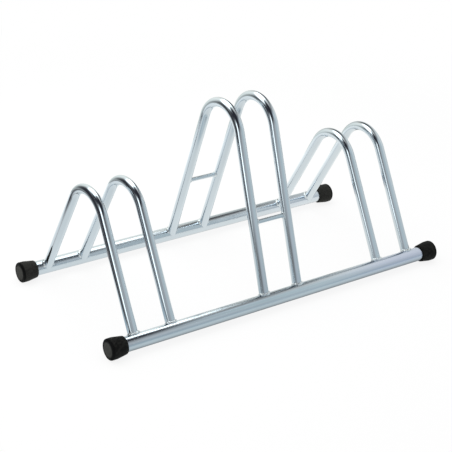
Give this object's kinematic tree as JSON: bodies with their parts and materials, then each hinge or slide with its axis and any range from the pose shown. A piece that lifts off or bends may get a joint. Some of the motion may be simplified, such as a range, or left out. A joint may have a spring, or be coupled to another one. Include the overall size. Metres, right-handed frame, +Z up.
{
  "type": "bicycle floor rack",
  "caption": "Free-standing floor rack of bent steel hoops on two parallel rails with rubber end caps, which hold bicycle wheels upright between pairs of hoops.",
  "frame": {"origin": "on the floor, at the middle of the rack's footprint", "axes": "+X along the rails, +Y from the front rail to the rear rail, +Z up"},
  "size_m": [0.7366, 0.358, 0.354],
  "materials": {
    "rail_zinc": "bright zinc plating on steel tube, smooth and reflective, slightly blue",
    "hoop_zinc": "bright zinc plating on bent steel tube, smooth and reflective, slightly blue",
    "rod_zinc": "bright zinc plating on steel rod, a little duller",
    "weld_zinc": "zinc plated weld metal, lumpy and semi-gloss",
    "black_rubber": "matt black moulded rubber"
  },
  "bodies": {
    "root": {"front_rail": "rail_zinc", "rear_rail": "rail_zinc", "left_place_left_hoop": "hoop_zinc", "left_place_right_hoop": "hoop_zinc", "middle_place_left_hoop": "hoop_zinc", "middle_place_right_hoop": "hoop_zinc", "right_place_left_hoop": "hoop_zinc", "right_place_right_hoop": "hoop_zinc", "front_tie_rod": "rod_zinc", "rear_tie_rod": "rod_zinc", "front_left_cap": "black_rubber", "front_right_cap": "black_rubber", "rear_left_cap": "black_rubber", "rear_right_cap": "black_rubber", "left_place_left_hoop_front_weld": "weld_zinc", "left_place_left_hoop_rear_weld": "weld_zinc", "left_place_right_hoop_front_weld": "weld_zinc", "left_place_right_hoop_rear_weld": "weld_zinc", "middle_place_left_hoop_front_weld": "weld_zinc", "middle_place_left_hoop_rear_weld": "weld_zinc", "middle_place_right_hoop_front_weld": "weld_zinc", "middle_place_right_hoop_rear_weld": "weld_zinc", "right_place_left_hoop_front_weld": "weld_zinc", "right_place_left_hoop_rear_weld": "weld_zinc", "right_place_right_hoop_front_weld": "weld_zinc", "right_place_right_hoop_rear_weld": "weld_zinc", "front_tie_rod_left_weld": "weld_zinc", "front_tie_rod_right_weld": "weld_zinc", "rear_tie_rod_left_weld": "weld_zinc", "rear_tie_rod_right_weld": "weld_zinc"}
  },
  "joints": []
}
